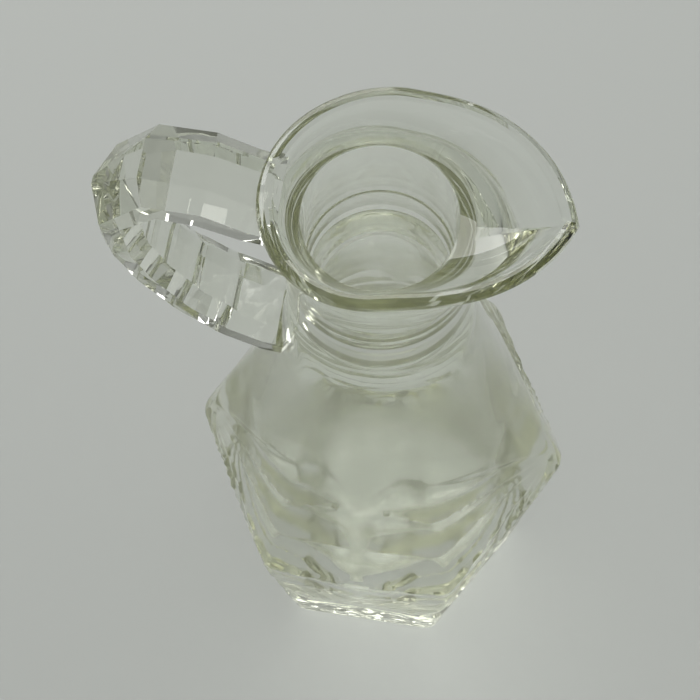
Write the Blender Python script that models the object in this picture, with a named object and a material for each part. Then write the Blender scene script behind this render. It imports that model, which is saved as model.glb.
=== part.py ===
"""A clear pressed-glass cruet: a six-sided body that is widest below its middle, a round neck with a
collar, a flared lip drawn out to a pouring spout, and a faceted handle, all one piece of glass.

The base rests on z = 0. The spout points to +X and the handle stands on the -X side, each over a corner
of the six-sided body. All is shaped around the axis of the neck, and then moved along X so that the
middle of the whole length is at x = 0. Lengths are in metres.
"""
import math

import bmesh
import bpy

MM = 0.001

# Main heights, from the base up
HEIGHT_WAIST = 40.5 * MM       # the widest level of the body
HEIGHT_SHOULDER = 56.5 * MM    # foot of the smooth shoulder
HEIGHT_COLLAR = 104.5 * MM     # underside of the collar
HEIGHT_BORE = 124.0 * MM       # where the funnel of the lip meets the bore
HEIGHT_RIM = 129.5 * MM        # rim at the handle
SPOUT_RISE = 3.0 * MM          # how far the rim climbs towards the spout

# Main radii
RADIUS_WAIST = 30.2 * MM       # axis to a corner at the widest level
RADIUS_BASE = 24.2 * MM        # axis to a corner at the base
RADIUS_SHOULDER = 22.0 * MM    # axis to the middle of a face at the foot of the shoulder
RADIUS_THROAT = 12.3 * MM      # top of the shoulder, under the collar
RADIUS_COLLAR = 12.9 * MM
RADIUS_NECK = 12.8 * MM
RADIUS_RIM = 15.6 * MM
RADIUS_SPOUT = 25.2 * MM       # axis to the tip of the spout
RADIUS_BORE = 10.4 * MM
RADIUS_SEAT = 9.85 * MM        # top of the taper that a stopper sits in
RADIUS_SEAT_LOW = 9.15 * MM    # narrowest part of the bore

# Glass thickness and the room inside
FLOOR_THICKNESS = 8.0 * MM
WALL_AT_WAIST = 3.6 * MM
SHOULDER_WALL = 2.9 * MM
RIM_THICKNESS = 2.2 * MM
HEIGHT_SEAT = 111.5 * MM
HEIGHT_TAPER = 108.0 * MM       # where the bore starts to narrow
COLLAR_TALL = 6.0 * MM
FLARE_FOOT = 115.1 * MM        # where the lip starts to spread from the neck

# Pressed relief
FAN_HEIGHT = 46.0 * MM         # where the flutes start, over the corners at spout and handle
FAN_TOP = math.radians(42.0)   # the highest flute's slope at its far end
FAN_BEND = math.radians(20.0)  # how much steeper a flute starts
FAN_PITCH = math.radians(17.5)
FAN_DEPTH = 0.75 * MM
FAN_REACH = 40.0 * MM
STAR_RAYS = 12
STAR_DEPTH = 0.9 * MM
STAR_SHARE = 0.74              # share of the base that the star covers
EDGE_BEVEL = 0.9 * MM

# Grid of the turned surface
SIDES = 6
COLUMNS = SIDES * 14
CORNER_POWER = 34.0            # larger makes the six corners crisper
BOWL_POWER = 3.2               # larger makes the bottom of the inside flatter

# Looks of the glass
GLASS_COLOUR = (0.80, 0.83, 0.72, 1.0)
GLASS_ROUGHNESS = 0.03
GLASS_IOR = 1.52

# Handle
HANDLE_WIDTH = 10.6 * MM
HANDLE_BEVEL = 2.1 * MM
HANDLE_PATH = (                # centre line, as (x, z, thickness, width of the outer face)
    (-13.9 * MM, 124.4 * MM, 6.6 * MM, 6.4 * MM),
    (-16.8 * MM, 125.1 * MM, 6.9 * MM, 6.4 * MM),
    (-22.2 * MM, 127.8 * MM, 7.6 * MM, 6.4 * MM),
    (-28.6 * MM, 128.0 * MM, 7.6 * MM, 5.6 * MM),
    (-34.4 * MM, 121.6 * MM, 7.0 * MM, 1.2 * MM),
    (-33.7 * MM, 111.8 * MM, 6.6 * MM, 6.4 * MM),
    (-31.4 * MM, 103.9 * MM, 6.6 * MM, 6.4 * MM),
    (-27.6 * MM, 97.2 * MM, 6.6 * MM, 6.4 * MM),
    (-22.0 * MM, 91.4 * MM, 6.6 * MM, 6.4 * MM),
    (-15.6 * MM, 87.4 * MM, 6.6 * MM, 6.4 * MM),
    (-12.8 * MM, 86.9 * MM, 6.6 * MM, 6.4 * MM),
)
GROOVES = (5, 8)               # first and last point of the path with a groove across the outer face
GROOVE_DEPTH = 1.5 * MM
GROOVE_HALF = 1.6 * MM


def ease(t):
    """A smooth step from 0 to 1."""
    t = min(max(t, 0.0), 1.0)
    return t * t * (3.0 - 2.0 * t)


def mix(a, b, t):
    return a + (b - a) * t


def polygon_radius(angle, corner_radius):
    """Distance from the axis to a six-sided outline with slightly rounded corners."""
    step = 2.0 * math.pi / SIDES
    inradius = corner_radius * math.cos(step / 2.0)
    total = 0.0
    for side in range(SIDES):
        reach = math.cos(angle - (side + 0.5) * step)
        if reach > 0.0:
            total += reach ** CORNER_POWER
    return inradius / total ** (1.0 / CORNER_POWER)


def face_radius(z):
    """Distance from the axis to the middle of a face, from the base up to the throat."""
    flat = math.cos(math.pi / SIDES)
    if z <= HEIGHT_WAIST:
        return flat * mix(RADIUS_BASE, RADIUS_WAIST, z / HEIGHT_WAIST)
    if z <= HEIGHT_SHOULDER:
        rise = (z - HEIGHT_WAIST) / (HEIGHT_SHOULDER - HEIGHT_WAIST)
        return mix(flat * RADIUS_WAIST, RADIUS_SHOULDER, rise)
    t = (z - HEIGHT_SHOULDER) / (HEIGHT_COLLAR - HEIGHT_SHOULDER)
    return RADIUS_THROAT + (RADIUS_SHOULDER - RADIUS_THROAT) * (1.0 - t) ** 1.4


def fan_cut(angle, z):
    """Depth of the flutes that spread from the side corners over the lower shoulder and the faces."""
    away = abs(math.atan2(math.sin(angle), math.cos(angle)))
    away = min(away, math.pi - away)
    sideways = away * RADIUS_SHOULDER
    slope = math.atan2(z - FAN_HEIGHT, sideways)
    distance = math.hypot(sideways, z - FAN_HEIGHT)
    upper = ease((slope + math.radians(10.0)) / math.radians(30.0))
    slope -= FAN_BEND * upper * max(1.0 - distance / FAN_REACH, 0.0)
    if slope >= FAN_TOP:
        return 0.0
    scallop = abs(math.sin(math.pi * (FAN_TOP - slope) / FAN_PITCH)) ** 0.8
    fade_in = ease((distance - 3.0 * MM) / (9.0 * MM))
    fade_out = 1.0 - ease((distance - 0.88 * FAN_REACH) / (0.12 * FAN_REACH))
    plain_front = max(ease((math.pi / 2.0 - away) / math.radians(10.0)), ease((44.0 * MM - z) / (6.0 * MM)))
    above_base = ease((z - 3.0 * MM) / (4.0 * MM))
    return FAN_DEPTH * scallop * fade_in * fade_out * plain_front * above_base


def body_radius(angle, z):
    """Outer radius of the body: six-sided at the waist and below, round at the throat."""
    middle = face_radius(z)
    roundness = ease((z - HEIGHT_WAIST) / (84.0 * MM - HEIGHT_WAIST))
    corner = middle / math.cos(math.pi / SIDES)
    return mix(polygon_radius(angle, corner), middle, roundness) - fan_cut(angle, z)


def spout_share(angle):
    """How far the rim at this angle is drawn out to the spout, from 0 to 1 at the tip."""
    away = abs(math.atan2(math.sin(angle), math.cos(angle)))
    reach = math.radians(82.0)
    if away >= reach:
        return 0.0
    t = 1.0 - away / reach
    return 0.5 * t ** 2.2 + 0.5 * ease(t)


def rim_radius(angle):
    return RADIUS_RIM + (RADIUS_SPOUT - RADIUS_RIM) * spout_share(angle)


def rim_height(angle):
    away = math.atan2(math.sin(angle), math.cos(angle))
    dip_at_tip = 0.55 * math.exp(-abs(away) / math.radians(14.0))
    return HEIGHT_RIM + SPOUT_RISE * ease(0.5 + 0.62 * math.cos(angle)) * (1.0 - dip_at_tip)


def outer_rings():
    """Rings of the outside from the edge of the base to the rim, each a list of (radius, z)."""
    angles = [2.0 * math.pi * i / COLUMNS for i in range(COLUMNS)]
    rings = []
    rings.append([(body_radius(a, 0.0) - EDGE_BEVEL, 0.0) for a in angles])
    for low, high, count in (
        (EDGE_BEVEL, HEIGHT_WAIST - 0.6 * MM, 14),
        (HEIGHT_WAIST + 0.6 * MM, HEIGHT_SHOULDER, 6),
        (HEIGHT_SHOULDER + 3.5 * MM, HEIGHT_COLLAR - 1.0 * MM, 13),
    ):
        for i in range(count):
            z = mix(low, high, i / (count - 1))
            rings.append([(body_radius(a, z), z) for a in angles])
    neck = (
        (RADIUS_THROAT + 0.2 * MM, HEIGHT_COLLAR - 0.7 * MM),
        (RADIUS_COLLAR, HEIGHT_COLLAR),
        (RADIUS_COLLAR, HEIGHT_COLLAR + 0.6 * MM),
        (RADIUS_NECK, HEIGHT_COLLAR + COLLAR_TALL),
        (RADIUS_NECK, FLARE_FOOT),
    )
    for radius, z in neck:
        rings.append([(radius, z)] * COLUMNS)
    for t in (0.2, 0.4, 0.6, 0.8, 1.0):
        ring = []
        for a in angles:
            top = rim_height(a) - 0.6 * RIM_THICKNESS
            z = mix(FLARE_FOOT, top, t)
            bow = mix(t ** 2.6, t ** 1.6, spout_share(a))
            ring.append((mix(RADIUS_NECK, rim_radius(a), bow), z))
        rings.append(ring)
    return rings, angles


def bowl_point(radius, top, turn):
    """A point (radius, z) on the rounded bottom of the inside, from its top at turn 0 to its middle."""
    across = math.cos(turn) ** (2.0 / BOWL_POWER)
    down = math.sin(turn) ** (2.0 / BOWL_POWER)
    return radius * across, top - (top - FLOOR_THICKNESS) * down


def inner_rings(angles):
    """Rings of the inside from the rim down the funnel and the bore to the floor of the cavity."""
    rings = [
        [(rim_radius(a) - 0.35 * RIM_THICKNESS, rim_height(a) - 0.1 * RIM_THICKNESS) for a in angles],
        [(rim_radius(a) - 0.8 * RIM_THICKNESS, rim_height(a) - 0.05 * RIM_THICKNESS) for a in angles],
    ]
    for t in (0.3, 0.6, 0.85):
        ring = []
        for a in angles:
            start = rim_radius(a) - 1.25 * RIM_THICKNESS
            drop = mix(t ** 0.8, t ** 0.65, spout_share(a))
            z = mix(rim_height(a) - 0.5 * RIM_THICKNESS, HEIGHT_BORE, drop)
            ring.append((mix(start, RADIUS_BORE, t), z))
        rings.append(ring)
    bore = (
        (RADIUS_BORE, HEIGHT_BORE),
        (RADIUS_BORE - 0.25 * MM, HEIGHT_BORE - 1.4 * MM),
        (RADIUS_SEAT + 0.2 * MM, HEIGHT_SEAT + 0.6 * MM),
        (RADIUS_SEAT, HEIGHT_SEAT - 0.6 * MM),
        (RADIUS_SEAT - 0.05 * MM, HEIGHT_TAPER),
        (RADIUS_SEAT_LOW, HEIGHT_COLLAR - 5.0 * MM),
    )
    for radius, z in bore:
        rings.append([(radius, z)] * COLUMNS)
    waist_inner = RADIUS_WAIST * math.cos(math.pi / SIDES) - WALL_AT_WAIST
    low = HEIGHT_WAIST - 4.0 * MM
    shoulder_levels = 6
    for i in range(shoulder_levels):
        z = mix(HEIGHT_COLLAR - 10.0 * MM, HEIGHT_SHOULDER, i / (shoulder_levels - 1))
        rings.append([(face_radius(z) - SHOULDER_WALL, z)] * COLUMNS)
    for turn in (0.0, 28.0, 48.0, 62.0, 74.0, 83.0):
        rings.append([bowl_point(waist_inner, low, math.radians(turn))] * COLUMNS)
    return rings


def star_rings(angles):
    """Rings of the underside from the middle of the star outwards, to the flat that rests."""
    rings = []
    for share in (0.3, 0.92, 1.0):
        ring = []
        for a in angles:
            radius = polygon_radius(a, RADIUS_BASE) * STAR_SHARE * share
            wave = 1.0 - abs(2.0 * ((a * STAR_RAYS / (2.0 * math.pi)) % 1.0) - 1.0)
            depth = {0.3: 0.35 + 0.65 * wave, 0.92: 1.0 * wave, 1.0: 0.0}[share]
            ring.append((radius, STAR_DEPTH * depth))
        rings.append(ring)
    return rings


def surface_mesh(name, rings, angles, first_point, last_point):
    """One closed mesh from a run of rings with a point at each end."""
    mesh = bmesh.new()
    loops = []
    for ring in rings:
        loop = []
        for (radius, z), angle in zip(ring, angles):
            loop.append(mesh.verts.new((radius * math.cos(angle), radius * math.sin(angle), z)))
        loops.append(loop)
    first = mesh.verts.new(first_point)
    last = mesh.verts.new(last_point)
    for low, high in zip(loops, loops[1:]):
        for i in range(COLUMNS):
            j = (i + 1) % COLUMNS
            mesh.faces.new((low[i], low[j], high[j], high[i]))
    for i in range(COLUMNS):
        j = (i + 1) % COLUMNS
        mesh.faces.new((first, loops[0][j], loops[0][i]))
        mesh.faces.new((last, loops[-1][i], loops[-1][j]))
    bmesh.ops.triangulate(mesh, faces=mesh.faces[:])
    bmesh.ops.recalc_face_normals(mesh, faces=mesh.faces[:])
    data = bpy.data.meshes.new(name)
    mesh.to_mesh(data)
    mesh.free()
    return bpy.data.objects.new(name, data)


def vessel(name):
    """Body, neck, lip and cavity as one closed surface."""
    outside, angles = outer_rings()
    rings = star_rings(angles) + outside + inner_rings(angles)
    return surface_mesh(name, rings, angles, (0.0, 0.0, STAR_DEPTH * 0.5), (0.0, 0.0, FLOOR_THICKNESS))


def handle_section(width, thickness, flat, groove):
    """The handle's eight-sided section, as (across, out)."""
    w = width / 2.0
    t = thickness / 2.0
    f = flat / 2.0
    return (
        (w, -t + HANDLE_BEVEL), (w, t - HANDLE_BEVEL), (f, t - groove), (-f, t - groove),
        (-w, t - HANDLE_BEVEL), (-w, -t + HANDLE_BEVEL), (-w + HANDLE_BEVEL, -t), (w - HANDLE_BEVEL, -t),
    )


def handle_stations():
    """Places along the handle: (x, z, direction along, thickness, outer width, groove depth)."""
    stations = []
    last = len(HANDLE_PATH) - 1
    for i, (x, z, thick, flat) in enumerate(HANDLE_PATH):
        before = HANDLE_PATH[max(i - 1, 0)]
        after = HANDLE_PATH[min(i + 1, last)]
        grooved = GROOVES[0] <= i <= GROOVES[1]
        for side, near in ((-1.0, before), (0.0, None), (1.0, after)):
            if side == 0.0:
                step = (after[0] - before[0], after[1] - before[1])
                stations.append((x, z, step, thick, flat, GROOVE_DEPTH if grooved else 0.0))
            elif grooved:
                step = ((near[0] - x) * side, (near[1] - z) * side)
                share = GROOVE_HALF / math.hypot(step[0], step[1]) * side
                stations.append((x + step[0] * share, z + step[1] * share, step, thick, flat, 0.0))
    return stations


def handle(name):
    """The handle: an eight-sided bar mitred at each bend of its path."""
    mesh = bmesh.new()
    loops = []
    stations = handle_stations()
    for i, (x, z, step, thick, flat, groove) in enumerate(stations):
        run = math.hypot(step[0], step[1])
        along = (step[0] / run, step[1] / run)
        outward = (along[1], -along[0])
        swell = 1.0 + 0.12 * math.cos(math.pi * i / (len(stations) - 1)) ** 2
        width = HANDLE_WIDTH * swell
        section = handle_section(width, thick, flat, groove)
        loop = []
        for across, out in section:
            loop.append(mesh.verts.new((x + outward[0] * out, across, z + outward[1] * out)))
        loops.append(loop)
    sides = len(loops[0])
    for low, high in zip(loops, loops[1:]):
        for i in range(sides):
            j = (i + 1) % sides
            mesh.faces.new((low[i], low[j], high[j], high[i]))
    mesh.faces.new(loops[0][::-1])
    mesh.faces.new(loops[-1])
    bmesh.ops.triangulate(mesh, faces=mesh.faces[:])
    bmesh.ops.recalc_face_normals(mesh, faces=mesh.faces[:])
    data = bpy.data.meshes.new(name)
    mesh.to_mesh(data)
    mesh.free()
    return bpy.data.objects.new(name, data)


def glass_material():
    material = bpy.data.materials.new("glass")
    material.use_nodes = True
    shader = material.node_tree.nodes["Principled BSDF"]
    shader.inputs["Base Color"].default_value = GLASS_COLOUR
    shader.inputs["Roughness"].default_value = GLASS_ROUGHNESS
    shader.inputs["Metallic"].default_value = 0.0
    shader.inputs["IOR"].default_value = GLASS_IOR
    shader.inputs["Transmission Weight"].default_value = 1.0
    return material


def build():
    for thing in list(bpy.data.objects):
        bpy.data.objects.remove(thing, do_unlink=True)
    shelf = bpy.data.collections.new("glass_cruet")
    bpy.context.scene.collection.children.link(shelf)
    cruet = vessel("cruet")
    shelf.objects.link(cruet)
    grip = handle("handle_bar")
    shelf.objects.link(grip)
    join = cruet.modifiers.new("handle", "BOOLEAN")
    join.operation = "UNION"
    join.solver = "EXACT"
    join.object = grip
    bpy.context.view_layer.update()
    graph = bpy.context.evaluated_depsgraph_get()
    joined = bpy.data.meshes.new_from_object(cruet.evaluated_get(graph))
    cruet.modifiers.clear()
    cruet.data = joined
    cruet.data.name = "cruet"
    cruet.data.materials.clear()
    cruet.data.materials.append(glass_material())
    bpy.data.objects.remove(grip, do_unlink=True)
    reach = [vertex.co.x for vertex in joined.vertices]
    cruet.location.x = -(min(reach) + max(reach)) / 2.0
    print("neck axis at x =", round(cruet.location.x / MM, 3), "mm")


build()
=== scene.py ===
"""Looks of the glass cruet: the finely made glass, its material, the floor, the light and the camera."""
import math

import bmesh
import bpy
from mathutils import Matrix, Vector


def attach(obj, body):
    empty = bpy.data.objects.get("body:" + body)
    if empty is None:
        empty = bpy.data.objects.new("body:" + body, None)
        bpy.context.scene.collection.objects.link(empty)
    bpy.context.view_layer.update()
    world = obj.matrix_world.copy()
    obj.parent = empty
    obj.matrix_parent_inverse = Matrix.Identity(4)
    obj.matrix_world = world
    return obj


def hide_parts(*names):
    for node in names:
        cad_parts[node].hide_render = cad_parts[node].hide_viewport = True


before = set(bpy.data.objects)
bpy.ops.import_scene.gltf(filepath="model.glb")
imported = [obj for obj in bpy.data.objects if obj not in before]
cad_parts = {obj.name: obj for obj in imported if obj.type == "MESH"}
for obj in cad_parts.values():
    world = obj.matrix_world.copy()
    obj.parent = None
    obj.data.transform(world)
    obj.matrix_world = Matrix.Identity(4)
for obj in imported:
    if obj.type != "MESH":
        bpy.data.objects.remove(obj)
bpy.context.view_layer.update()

MM = 0.001

# Place of the neck's axis along X
NECK_X = 4.206 * MM

# Main heights
HEIGHT_WAIST = 40.5 * MM
HEIGHT_SHOULDER = 56.5 * MM    # foot of the smooth shoulder
HEIGHT_ROUND = 84.0 * MM       # where the shoulder has turned round
HEIGHT_COLLAR = 104.5 * MM
HEIGHT_SEAT = 111.5 * MM
HEIGHT_TAPER = 108.0 * MM      # where the bore starts to narrow
HEIGHT_SEAT_LOW = HEIGHT_COLLAR - 5.0 * MM  # narrowest part of the bore
COLLAR_TALL = 6.0 * MM
FLARE_FOOT = 115.1 * MM        # where the lip starts to spread from the neck
HEIGHT_BORE = 124.0 * MM
HEIGHT_RIM = 129.5 * MM
SPOUT_RISE = 3.0 * MM

# Main radii
RADIUS_WAIST = 30.2 * MM
RADIUS_BASE = 24.2 * MM
RADIUS_SHOULDER = 22.0 * MM    # axis to the middle of a face at the foot of the shoulder
RADIUS_THROAT = 12.3 * MM
RADIUS_COLLAR = 12.9 * MM
RADIUS_NECK = 12.8 * MM
RADIUS_RIM = 15.6 * MM
RADIUS_SPOUT = 25.2 * MM
RADIUS_BORE = 10.4 * MM
RADIUS_SEAT = 9.85 * MM        # top of the taper that a stopper sits in
RADIUS_SEAT_LOW = 9.15 * MM    # narrowest part of the bore
SHOULDER_POWER = 1.4           # larger makes the shoulder hollower

# Glass thickness
FLOOR_THICKNESS = 8.0 * MM
WALL_AT_WAIST = 3.6 * MM
SHOULDER_WALL = 2.9 * MM
RIM_THICKNESS = 2.2 * MM
RIM_CROWN = 0.6 * RIM_THICKNESS  # height of the rim's rounded top

# Lip and spout
SPOUT_REACH = math.radians(82.0)  # from the spout's tip to where the rim is round again
CREASE_DIP = 0.55                 # share of the spout's rise that the crease takes away
CREASE_WIDTH = math.radians(14.0)

# Pressed relief
FAN_HEIGHT = 46.0 * MM         # where the flutes start, over the corners at spout and handle
FAN_TOP = math.radians(42.0)   # the highest flute's slope at its far end
FAN_BEND = math.radians(20.0)  # how much steeper a flute starts
FAN_PITCH = math.radians(17.5)
FAN_DEPTH = 0.75 * MM
FAN_REACH = 40.0 * MM
FAN_POWER = 0.8                # smaller makes the flutes wider and their ridges sharper
STAR_RAYS = 12
STAR_DEPTH = 0.9 * MM
STAR_SHARE = 0.74
EDGE_BEVEL = 0.9 * MM

# Grid of the surface
SIDES = 6
COLUMNS = SIDES * 60
CORNER_POWER = 34.0
BOWL_POWER = 3.2               # larger makes the bottom of the inside flatter

# Handle
HANDLE_WIDTH = 10.6 * MM
HANDLE_BEVEL = 2.1 * MM
HANDLE_SWELL = 0.12            # how much wider the handle is at its ends
HANDLE_PATH = (                # centre line, as (x, z, thickness, width of the outer face)
    (-13.9 * MM, 124.4 * MM, 6.6 * MM, 6.4 * MM),
    (-16.8 * MM, 125.1 * MM, 6.9 * MM, 6.4 * MM),
    (-22.2 * MM, 127.8 * MM, 7.6 * MM, 6.4 * MM),
    (-28.6 * MM, 128.0 * MM, 7.6 * MM, 5.6 * MM),
    (-34.4 * MM, 121.6 * MM, 7.0 * MM, 1.2 * MM),
    (-33.7 * MM, 111.8 * MM, 6.6 * MM, 6.4 * MM),
    (-31.4 * MM, 103.9 * MM, 6.6 * MM, 6.4 * MM),
    (-27.6 * MM, 97.2 * MM, 6.6 * MM, 6.4 * MM),
    (-22.0 * MM, 91.4 * MM, 6.6 * MM, 6.4 * MM),
    (-15.6 * MM, 87.4 * MM, 6.6 * MM, 6.4 * MM),
    (-12.8 * MM, 86.9 * MM, 6.6 * MM, 6.4 * MM),
)
GROOVES = (5, 8)               # first and last point of the path with a groove across the outer face
GROOVE_DEPTH = 1.5 * MM
GROOVE_HALF = 1.6 * MM
GROOVE_STEPS = (-1.0, -0.67, -0.33, 0.0, 0.33, 0.67, 1.0)

# Looks of the glass
GLASS_COLOUR = (0.97, 0.985, 0.95, 1.0)
GLASS_IOR = 1.5
TINT_COLOUR = (0.70, 0.71, 0.55, 1.0)
TINT_DENSITY = 25.0
RIPPLE_SCALE = 110.0
RIPPLE_STRENGTH = 0.12
RIPPLE_HEIGHT = 0.25 * MM
HAZE_ROUGHNESS = 0.05          # the most that the ripple adds
FILM_ROUGHNESS = 0.2           # of the dull inside of the shoulder
SHARP_ANGLE = math.radians(24.0)

# Plain colour of the table top
FLOOR_COLOUR = (0.365, 0.378, 0.358, 1.0)

# Lights of the room
LIGHT_TARGET = (0.0, 0.0, 0.05)
WINDOW_POWER = 23.0
CEILING_POWER = 13.0
SKY_LOW = (0.33, 0.34, 0.29, 1.0)
SKY_HIGH = (0.84, 0.86, 0.86, 1.0)
SKY_STRENGTH = 0.40
DIM_SIDE = (0.07, -0.35, 0.93)  # direction of the darker part of the sky
DIM_SHARE = 0.75                # brightness left there
LIGHT_BOUNCES = 32

# Camera, measured from the neck's axis before it turns around it
CAMERA_YAW = math.radians(11.99)
CAMERA_TILT = math.radians(90.0 - 68.475)
CAMERA_ROLL = math.radians(-2.744)
CAMERA_PLACE = (-4.593 * MM, -117.779 * MM, 376.776 * MM)
CAMERA_LENS = 2180.1 / 700.0 * 36.0


def ease(t):
    """A smooth step from 0 to 1."""
    t = min(max(t, 0.0), 1.0)
    return t * t * (3.0 - 2.0 * t)


def mix(a, b, t):
    return a + (b - a) * t


def polygon_radius(angle, corner_radius):
    """Distance from the axis to a six-sided outline with slightly rounded corners."""
    step = 2.0 * math.pi / SIDES
    inradius = corner_radius * math.cos(step / 2.0)
    total = 0.0
    for side in range(SIDES):
        reach = math.cos(angle - (side + 0.5) * step)
        if reach > 0.0:
            total += reach ** CORNER_POWER
    return inradius / total ** (1.0 / CORNER_POWER)


def face_radius(z):
    """Distance from the axis to the middle of a face, from the base up to the throat."""
    flat = math.cos(math.pi / SIDES)
    if z <= HEIGHT_WAIST:
        return flat * mix(RADIUS_BASE, RADIUS_WAIST, z / HEIGHT_WAIST)
    if z <= HEIGHT_SHOULDER:
        rise = (z - HEIGHT_WAIST) / (HEIGHT_SHOULDER - HEIGHT_WAIST)
        return mix(flat * RADIUS_WAIST, RADIUS_SHOULDER, rise)
    t = (z - HEIGHT_SHOULDER) / (HEIGHT_COLLAR - HEIGHT_SHOULDER)
    return RADIUS_THROAT + (RADIUS_SHOULDER - RADIUS_THROAT) * (1.0 - t) ** SHOULDER_POWER


def fan_cut(angle, z):
    """Depth of the flutes that spread from the side corners over the lower shoulder and the faces."""
    away = abs(math.atan2(math.sin(angle), math.cos(angle)))
    away = min(away, math.pi - away)
    sideways = away * RADIUS_SHOULDER
    slope = math.atan2(z - FAN_HEIGHT, sideways)
    distance = math.hypot(sideways, z - FAN_HEIGHT)
    upper = ease((slope + math.radians(10.0)) / math.radians(30.0))
    slope -= FAN_BEND * upper * max(1.0 - distance / FAN_REACH, 0.0)
    if slope >= FAN_TOP:
        return 0.0
    scallop = abs(math.sin(math.pi * (FAN_TOP - slope) / FAN_PITCH)) ** FAN_POWER
    fade_in = ease((distance - 3.0 * MM) / (9.0 * MM))
    fade_out = 1.0 - ease((distance - 0.88 * FAN_REACH) / (0.12 * FAN_REACH))
    plain_front = max(ease((math.pi / 2.0 - away) / math.radians(10.0)), ease((44.0 * MM - z) / (6.0 * MM)))
    above_base = ease((z - 3.0 * MM) / (4.0 * MM))
    return FAN_DEPTH * scallop * fade_in * fade_out * plain_front * above_base


def body_radius(angle, z):
    """Outer radius of the body: six-sided at the waist and below, round at the throat."""
    middle = face_radius(z)
    roundness = ease((z - HEIGHT_WAIST) / (HEIGHT_ROUND - HEIGHT_WAIST))
    corner = middle / math.cos(math.pi / SIDES)
    return mix(polygon_radius(angle, corner), middle, roundness) - fan_cut(angle, z)


def spout_share(angle):
    """How far the rim at this angle is drawn out to the spout, from 0 to 1 at the tip."""
    away = abs(math.atan2(math.sin(angle), math.cos(angle)))
    if away >= SPOUT_REACH:
        return 0.0
    t = 1.0 - away / SPOUT_REACH
    return 0.5 * t ** 2.2 + 0.5 * ease(t)


def rim_radius(angle):
    return RADIUS_RIM + (RADIUS_SPOUT - RADIUS_RIM) * spout_share(angle)


def rim_height(angle):
    away = math.atan2(math.sin(angle), math.cos(angle))
    dip_at_tip = CREASE_DIP * math.exp(-abs(away) / CREASE_WIDTH)
    return HEIGHT_RIM + SPOUT_RISE * ease(0.5 + 0.62 * math.cos(angle)) * (1.0 - dip_at_tip)


def smooth_run(points, steps):
    """Points on a smooth curve through the given ones, with this many steps between each two."""
    run = []
    last = len(points) - 1
    for i in range(last):
        p0 = points[max(i - 1, 0)]
        p1 = points[i]
        p2 = points[i + 1]
        p3 = points[min(i + 2, last)]
        for k in range(steps):
            t = k / steps
            run.append(tuple(
                0.5 * (2 * b + (c - a) * t + (2 * a - 5 * b + 4 * c - d) * t * t
                       + (3 * b - a - 3 * c + d) * t ** 3)
                for a, b, c, d in zip(p0, p1, p2, p3)
            ))
    run.append(points[last])
    return run


def levels(low, high, count):
    return [mix(low, high, i / (count - 1)) for i in range(count)]


def outer_rings(angles):
    """Rings of the outside from the edge of the base to the rim, each a list of (radius, z)."""
    rings = []
    for t in (0.0, 0.35, 0.7, 1.0):
        turn = t * math.pi / 2.0
        inset = EDGE_BEVEL * (1.0 - math.sin(turn))
        z = EDGE_BEVEL * (1.0 - math.cos(turn))
        rings.append([(body_radius(a, z) - inset, z) for a in angles])
    for z in levels(EDGE_BEVEL + 0.7 * MM, HEIGHT_WAIST - 0.4 * MM, 50):
        rings.append([(body_radius(a, z), z) for a in angles])
    for z in levels(HEIGHT_WAIST + 0.4 * MM, HEIGHT_SHOULDER, 26):
        rings.append([(body_radius(a, z), z) for a in angles])
    for z in levels(HEIGHT_SHOULDER + 0.7 * MM, HEIGHT_COLLAR - 1.0 * MM, 52):
        rings.append([(body_radius(a, z), z) for a in angles])
    neck = (
        (RADIUS_THROAT + 0.2 * MM, HEIGHT_COLLAR - 0.7 * MM),
        (RADIUS_COLLAR, HEIGHT_COLLAR),
        (RADIUS_COLLAR, HEIGHT_COLLAR + 0.6 * MM),
        (RADIUS_NECK, HEIGHT_COLLAR + COLLAR_TALL),
    )
    for radius, z in neck:
        rings.append([(radius, z)] * COLUMNS)
    for t in levels(0.0, 1.0, 21):
        ring = []
        for a in angles:
            top = rim_height(a) - RIM_CROWN
            z = mix(FLARE_FOOT, top, t)
            bow = mix(t ** 2.6, t ** 1.6, spout_share(a))
            ring.append((mix(RADIUS_NECK, rim_radius(a), bow), z))
        rings.append(ring)
    return rings


def bowl_point(radius, top, turn):
    """A point (radius, z) on the rounded bottom of the inside, from its top at turn 0 to its middle."""
    across = math.cos(turn) ** (2.0 / BOWL_POWER)
    down = math.sin(turn) ** (2.0 / BOWL_POWER)
    return radius * across, top - (top - FLOOR_THICKNESS) * down


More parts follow.
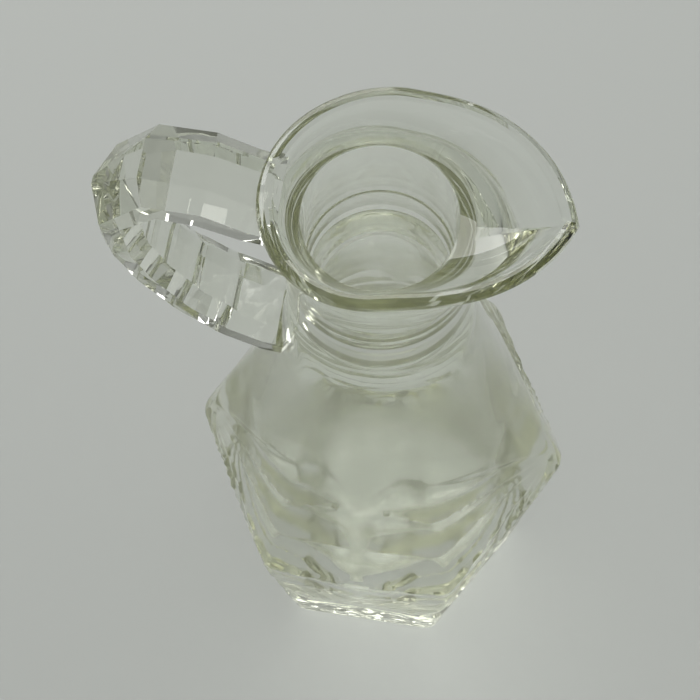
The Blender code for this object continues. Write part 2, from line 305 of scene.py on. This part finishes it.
def inner_rings(angles):
    """Rings of the inside from the rim down the funnel and the bore to the floor of the cavity."""
    rings = []
    for t in levels(0.15, 1.0, 6):
        turn = t * math.pi
        ring = []
        for a in angles:
            radius = rim_radius(a) - RIM_THICKNESS * (0.5 - 0.5 * math.cos(turn))
            z = rim_height(a) - RIM_CROWN + RIM_CROWN * math.sin(turn)
            ring.append((radius, z))
        rings.append(ring)
    for t in levels(0.08, 0.96, 17):
        ring = []
        for a in angles:
            start = rim_radius(a) - RIM_THICKNESS
            drop = mix(t ** 0.8, t ** 0.65, spout_share(a))
            z = mix(rim_height(a) - RIM_CROWN, HEIGHT_BORE, drop)
            ring.append((mix(start, RADIUS_BORE, t), z))
        rings.append(ring)
    bore = (
        (RADIUS_BORE, HEIGHT_BORE),
        (RADIUS_BORE - 0.25 * MM, HEIGHT_BORE - 1.4 * MM),
        (RADIUS_SEAT + 0.2 * MM, HEIGHT_SEAT + 0.6 * MM),
        (RADIUS_SEAT, HEIGHT_SEAT - 0.6 * MM),
        (RADIUS_SEAT - 0.05 * MM, HEIGHT_TAPER),
        (RADIUS_SEAT_LOW, HEIGHT_SEAT_LOW),
    )
    for radius, z in smooth_run(bore, 3)[:-1]:
        rings.append([(radius, z)] * COLUMNS)
    waist_inner = RADIUS_WAIST * math.cos(math.pi / SIDES) - WALL_AT_WAIST
    low = HEIGHT_WAIST - 4.0 * MM
    shoulder = [(RADIUS_SEAT_LOW, HEIGHT_SEAT_LOW)]
    for z in levels(HEIGHT_COLLAR - 10.0 * MM, HEIGHT_SHOULDER, 6):
        shoulder.append((face_radius(z) - SHOULDER_WALL, z))
    shoulder.append((waist_inner, low))
    for radius, z in smooth_run(shoulder, 4)[:-1]:
        rings.append([(radius, z)] * COLUMNS)
    for turn in levels(0.0, 88.0, 23):
        rings.append([bowl_point(waist_inner, low, math.radians(turn))] * COLUMNS)
    return rings


def star_rings(angles):
    """Rings of the underside from the middle of the star outwards, to the flat that rests."""
    rings = []
    for share in levels(0.06, 1.0, 11):
        ring = []
        for a in angles:
            radius = polygon_radius(a, RADIUS_BASE) * STAR_SHARE * share
            wave = 1.0 - abs(2.0 * ((a * STAR_RAYS / (2.0 * math.pi)) % 1.0) - 1.0)
            rise = ease((1.0 - share) / 0.1)
            ring.append((radius, STAR_DEPTH * rise * mix(0.5, wave, ease(share / 0.3))))
        rings.append(ring)
    return rings


def dullness(z):
    """How dull the inside is at this height: most at the shoulder, less below, none in the bore."""
    return ease((93.0 * MM - z) / (12.0 * MM)) * mix(0.25, 1.0, ease((z - 38.0 * MM) / (14.0 * MM)))


def vessel_object():
    """Body, neck, lip and inside as one closed surface."""
    angles = [2.0 * math.pi * i / COLUMNS for i in range(COLUMNS)]
    skin = star_rings(angles) + outer_rings(angles)
    rings = skin + inner_rings(angles)
    mesh = bmesh.new()
    inside = mesh.verts.layers.float.new("inside")
    loops = []
    for level, ring in enumerate(rings):
        loop = []
        for (radius, z), angle in zip(ring, angles):
            place = (NECK_X + radius * math.cos(angle), radius * math.sin(angle), z)
            vertex = mesh.verts.new(place)
            if level >= len(skin):
                vertex[inside] = dullness(z)
            loop.append(vertex)
        loops.append(loop)
    first = mesh.verts.new((NECK_X, 0.0, STAR_DEPTH * 0.5))
    last = mesh.verts.new((NECK_X, 0.0, FLOOR_THICKNESS))
    last[inside] = dullness(FLOOR_THICKNESS)
    for low, high in zip(loops, loops[1:]):
        for i in range(COLUMNS):
            j = (i + 1) % COLUMNS
            mesh.faces.new((low[i], low[j], high[j], high[i]))
    for i in range(COLUMNS):
        j = (i + 1) % COLUMNS
        mesh.faces.new((first, loops[0][j], loops[0][i]))
        mesh.faces.new((last, loops[-1][i], loops[-1][j]))
    bmesh.ops.recalc_face_normals(mesh, faces=mesh.faces[:])
    data = bpy.data.meshes.new("cruet_glass")
    mesh.to_mesh(data)
    mesh.free()
    return bpy.data.objects.new("cruet_glass", data)


def handle_stations():
    """Places along the handle: (x, z, direction along, thickness, outer width, groove depth)."""
    stations = []
    last = len(HANDLE_PATH) - 1
    for i, (x, z, thick, flat) in enumerate(HANDLE_PATH):
        before = HANDLE_PATH[max(i - 1, 0)]
        after = HANDLE_PATH[min(i + 1, last)]
        grooved = GROOVES[0] <= i <= GROOVES[1]
        for side in GROOVE_STEPS:
            depth = GROOVE_DEPTH * (0.5 + 0.5 * math.cos(math.pi * side))
            if side == 0.0:
                step = (after[0] - before[0], after[1] - before[1])
                stations.append((x, z, step, thick, flat, depth if grooved else 0.0))
            elif grooved:
                near = before if side < 0.0 else after
                way = math.copysign(1.0, side)
                step = ((near[0] - x) * way, (near[1] - z) * way)
                share = GROOVE_HALF * side / math.hypot(step[0], step[1])
                stations.append((x + step[0] * share, z + step[1] * share, step, thick, flat, depth))
    return stations


def handle_section(width, thickness, flat, groove):
    """The handle's eight-sided section, as (across, out)."""
    w = width / 2.0
    t = thickness / 2.0
    f = flat / 2.0
    return (
        (w, -t + HANDLE_BEVEL), (w, t - HANDLE_BEVEL), (f, t - groove), (-f, t - groove),
        (-w, t - HANDLE_BEVEL), (-w, -t + HANDLE_BEVEL), (-w + HANDLE_BEVEL, -t), (w - HANDLE_BEVEL, -t),
    )


def handle_object():
    """The handle: an eight-sided bar mitred at each bend of its path."""
    mesh = bmesh.new()
    loops = []
    stations = handle_stations()
    for i, (x, z, step, thick, flat, groove) in enumerate(stations):
        run = math.hypot(step[0], step[1])
        along = (step[0] / run, step[1] / run)
        outward = (along[1], -along[0])
        swell = 1.0 + HANDLE_SWELL * math.cos(math.pi * i / (len(stations) - 1)) ** 2
        width = HANDLE_WIDTH * swell
        section = handle_section(width, thick, flat, groove)
        loop = []
        for across, out in section:
            loop.append(mesh.verts.new((NECK_X + x + outward[0] * out, across, z + outward[1] * out)))
        loops.append(loop)
    sides = len(loops[0])
    for low, high in zip(loops, loops[1:]):
        for i in range(sides):
            j = (i + 1) % sides
            mesh.faces.new((low[i], low[j], high[j], high[i]))
    mesh.faces.new(loops[0][::-1])
    mesh.faces.new(loops[-1])
    bmesh.ops.recalc_face_normals(mesh, faces=mesh.faces[:])
    data = bpy.data.meshes.new("handle_bar")
    mesh.to_mesh(data)
    mesh.free()
    return bpy.data.objects.new("handle_bar", data)


def glass_material():
    """Clear glass with a faint grey-green body colour, the soft ripple of pressing and a dull inside."""
    material = bpy.data.materials.new("cruet_glass")
    material.use_nodes = True
    nodes = material.node_tree.nodes
    links = material.node_tree.links
    shader = nodes["Principled BSDF"]
    shader.inputs["Base Color"].default_value = GLASS_COLOUR
    shader.inputs["IOR"].default_value = GLASS_IOR
    shader.inputs["Transmission Weight"].default_value = 1.0
    place = nodes.new("ShaderNodeTexCoord")
    ripple = nodes.new("ShaderNodeTexNoise")
    ripple.inputs["Scale"].default_value = RIPPLE_SCALE
    ripple.inputs["Detail"].default_value = 2.0
    links.new(place.outputs["Object"], ripple.inputs["Vector"])
    bump = nodes.new("ShaderNodeBump")
    bump.inputs["Strength"].default_value = RIPPLE_STRENGTH
    bump.inputs["Distance"].default_value = RIPPLE_HEIGHT
    links.new(ripple.outputs["Fac"], bump.inputs["Height"])
    links.new(bump.outputs["Normal"], shader.inputs["Normal"])
    haze = nodes.new("ShaderNodeMapRange")
    haze.inputs["From Min"].default_value = 0.3
    haze.inputs["From Max"].default_value = 0.8
    haze.inputs["To Min"].default_value = 0.0
    haze.inputs["To Max"].default_value = HAZE_ROUGHNESS
    links.new(ripple.outputs["Fac"], haze.inputs["Value"])
    film = nodes.new("ShaderNodeAttribute")
    film.attribute_name = "inside"
    dull = nodes.new("ShaderNodeMath")
    dull.operation = "MULTIPLY_ADD"
    dull.inputs[1].default_value = FILM_ROUGHNESS
    links.new(film.outputs["Fac"], dull.inputs[0])
    links.new(haze.outputs["Result"], dull.inputs[2])
    links.new(dull.outputs["Value"], shader.inputs["Roughness"])
    tint = nodes.new("ShaderNodeVolumeAbsorption")
    tint.inputs["Color"].default_value = TINT_COLOUR
    tint.inputs["Density"].default_value = TINT_DENSITY
    output = nodes["Material Output"]
    links.new(tint.outputs["Volume"], output.inputs["Volume"])
    return material


def cruet():
    """The glass, in the place of the plain solid."""
    glass = vessel_object()
    bar = handle_object()
    bpy.context.scene.collection.objects.link(glass)
    bpy.context.scene.collection.objects.link(bar)
    join = glass.modifiers.new("handle", "BOOLEAN")
    join.operation = "UNION"
    join.solver = "EXACT"
    join.object = bar
    graph = bpy.context.evaluated_depsgraph_get()
    joined = bpy.data.meshes.new_from_object(glass.evaluated_get(graph))
    glass.modifiers.clear()
    glass.data = joined
    bpy.data.objects.remove(bar, do_unlink=True)
    joined.shade_smooth()
    joined.set_sharp_from_angle(angle=SHARP_ANGLE)
    joined.materials.clear()
    joined.materials.append(glass_material())
    glass.visible_shadow = False
    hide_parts("cruet")
    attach(glass, "root")


def floor():
    """A plain pale table top."""
    bpy.ops.mesh.primitive_plane_add(size=4.0, location=(0.0, 0.0, -0.0002))
    top = bpy.context.object
    top.name = "floor"
    material = bpy.data.materials.new("floor")
    material.use_nodes = True
    shader = material.node_tree.nodes["Principled BSDF"]
    shader.inputs["Base Color"].default_value = FLOOR_COLOUR
    shader.inputs["Roughness"].default_value = 0.6
    top.data.materials.append(material)


def area_light(name, place, size, power, colour):
    """A soft rectangular light that faces the cruet."""
    data = bpy.data.lights.new(name, "AREA")
    data.shape = "RECTANGLE"
    data.size = size[0]
    data.size_y = size[1]
    data.energy = power
    data.color = colour
    light = bpy.data.objects.new(name, data)
    light.location = place
    aim = Vector(LIGHT_TARGET) - Vector(place)
    light.rotation_euler = aim.to_track_quat("-Z", "Y").to_euler()
    bpy.context.scene.collection.objects.link(light)
    return light


def lights():
    """A window behind, a ceiling lamp above and a soft sky that is darker low down."""
    area_light("window", (-0.5, 1.1, 1.1), (1.6, 1.2), WINDOW_POWER, (1.0, 1.0, 1.0))
    ceiling = area_light("ceiling", (0.3, 0.2, 1.6), (2.0, 2.0), CEILING_POWER, (1.0, 1.0, 0.985))
    ceiling.visible_glossy = False
    ceiling.visible_transmission = False
    world = bpy.data.worlds.new("studio")
    world.use_nodes = True
    nodes = world.node_tree.nodes
    links = world.node_tree.links
    back = nodes["Background"]
    place = nodes.new("ShaderNodeTexCoord")
    split = nodes.new("ShaderNodeSeparateXYZ")
    ramp = nodes.new("ShaderNodeValToRGB")
    ramp.color_ramp.elements[0].position = 0.0
    ramp.color_ramp.elements[0].color = SKY_LOW
    ramp.color_ramp.elements[1].position = 0.6
    ramp.color_ramp.elements[1].color = SKY_HIGH
    links.new(place.outputs["Generated"], split.inputs["Vector"])
    links.new(split.outputs["Z"], ramp.inputs["Fac"])
    near = nodes.new("ShaderNodeVectorMath")
    near.operation = "DOT_PRODUCT"
    near.inputs[1].default_value = DIM_SIDE
    links.new(place.outputs["Generated"], near.inputs[0])
    shade = nodes.new("ShaderNodeMapRange")
    shade.interpolation_type = "SMOOTHSTEP"
    shade.inputs["From Min"].default_value = 0.70
    shade.inputs["From Max"].default_value = 0.95
    shade.inputs["To Min"].default_value = 1.0
    shade.inputs["To Max"].default_value = DIM_SHARE
    links.new(near.outputs["Value"], shade.inputs["Value"])
    dim = nodes.new("ShaderNodeVectorMath")
    dim.operation = "SCALE"
    links.new(ramp.outputs["Color"], dim.inputs[0])
    links.new(shade.outputs["Result"], dim.inputs["Scale"])
    links.new(dim.outputs["Vector"], back.inputs["Color"])
    back.inputs["Strength"].default_value = SKY_STRENGTH
    bpy.context.scene.world = world


def camera():
    """The camera at the height and turn of the photograph."""
    data = bpy.data.cameras.new("camera")
    data.sensor_width = 36.0
    data.lens = CAMERA_LENS
    data.clip_start = 0.01
    eye = bpy.data.objects.new("camera", data)
    yaw = Matrix.Rotation(CAMERA_YAW, 4, "Z")
    tilt = Matrix.Rotation(CAMERA_TILT, 4, "X")
    roll = Matrix.Rotation(CAMERA_ROLL, 4, "Z")
    eye.matrix_world = (
        Matrix.Translation((NECK_X, 0.0, 0.0)) @ yaw @ Matrix.Translation(CAMERA_PLACE) @ tilt @ roll
    )
    bpy.context.scene.collection.objects.link(eye)
    bpy.context.scene.camera = eye


camera()
cruet()
floor()
lights()
bpy.context.scene.view_settings.view_transform = "Standard"
bpy.context.scene.cycles.max_bounces = LIGHT_BOUNCES
bpy.context.scene.cycles.transmission_bounces = LIGHT_BOUNCES
bpy.context.scene.cycles.glossy_bounces = LIGHT_BOUNCES
bpy.context.view_layer.update()
